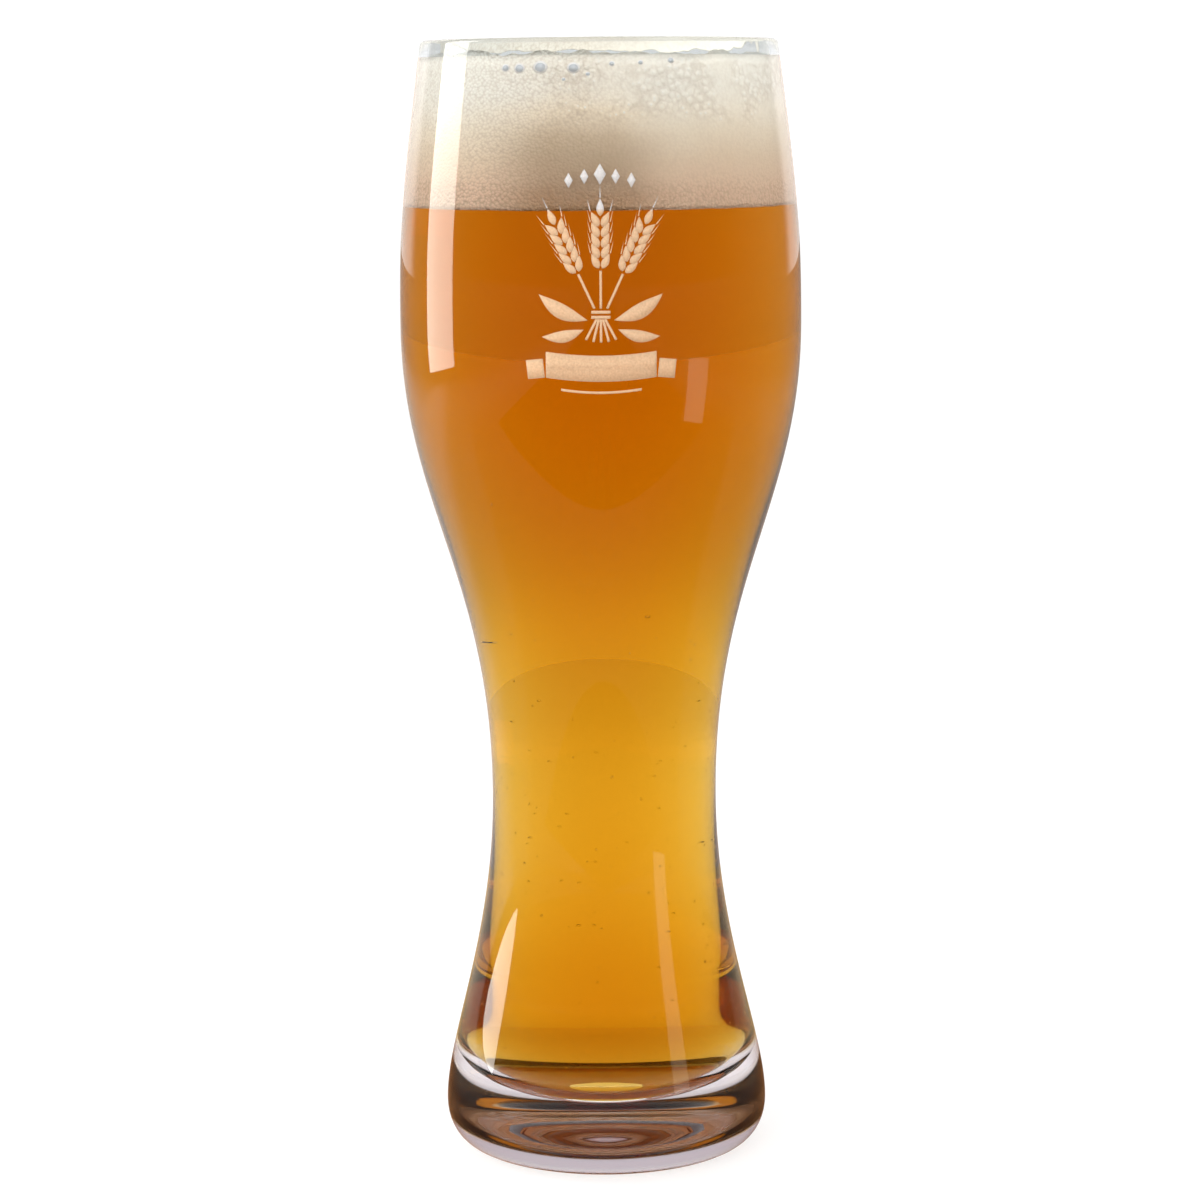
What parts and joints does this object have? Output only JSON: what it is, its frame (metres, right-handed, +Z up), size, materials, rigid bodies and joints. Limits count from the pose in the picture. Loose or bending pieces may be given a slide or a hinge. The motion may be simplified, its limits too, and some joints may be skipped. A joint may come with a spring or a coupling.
{
  "type": "weizen glass",
  "caption": "Tall waisted wheat beer glass with a thick foot, filled with golden beer under a head of foam.",
  "frame": {"origin": "middle of the standing ring, on the table", "axes": "+Z up along the glass's axis of revolution, -Y towards the side that carries the engraving"},
  "size_m": [0.084, 0.084, 0.235],
  "materials": {
    "clear_glass": "clear, smooth, with a frosted engraving on the front",
    "beer": "clear amber liquid",
    "foam": "fine cream froth"
  },
  "bodies": {
    "root": {"glass": "clear_glass", "beer": "beer", "foam_head": "foam"}
  },
  "joints": []
}
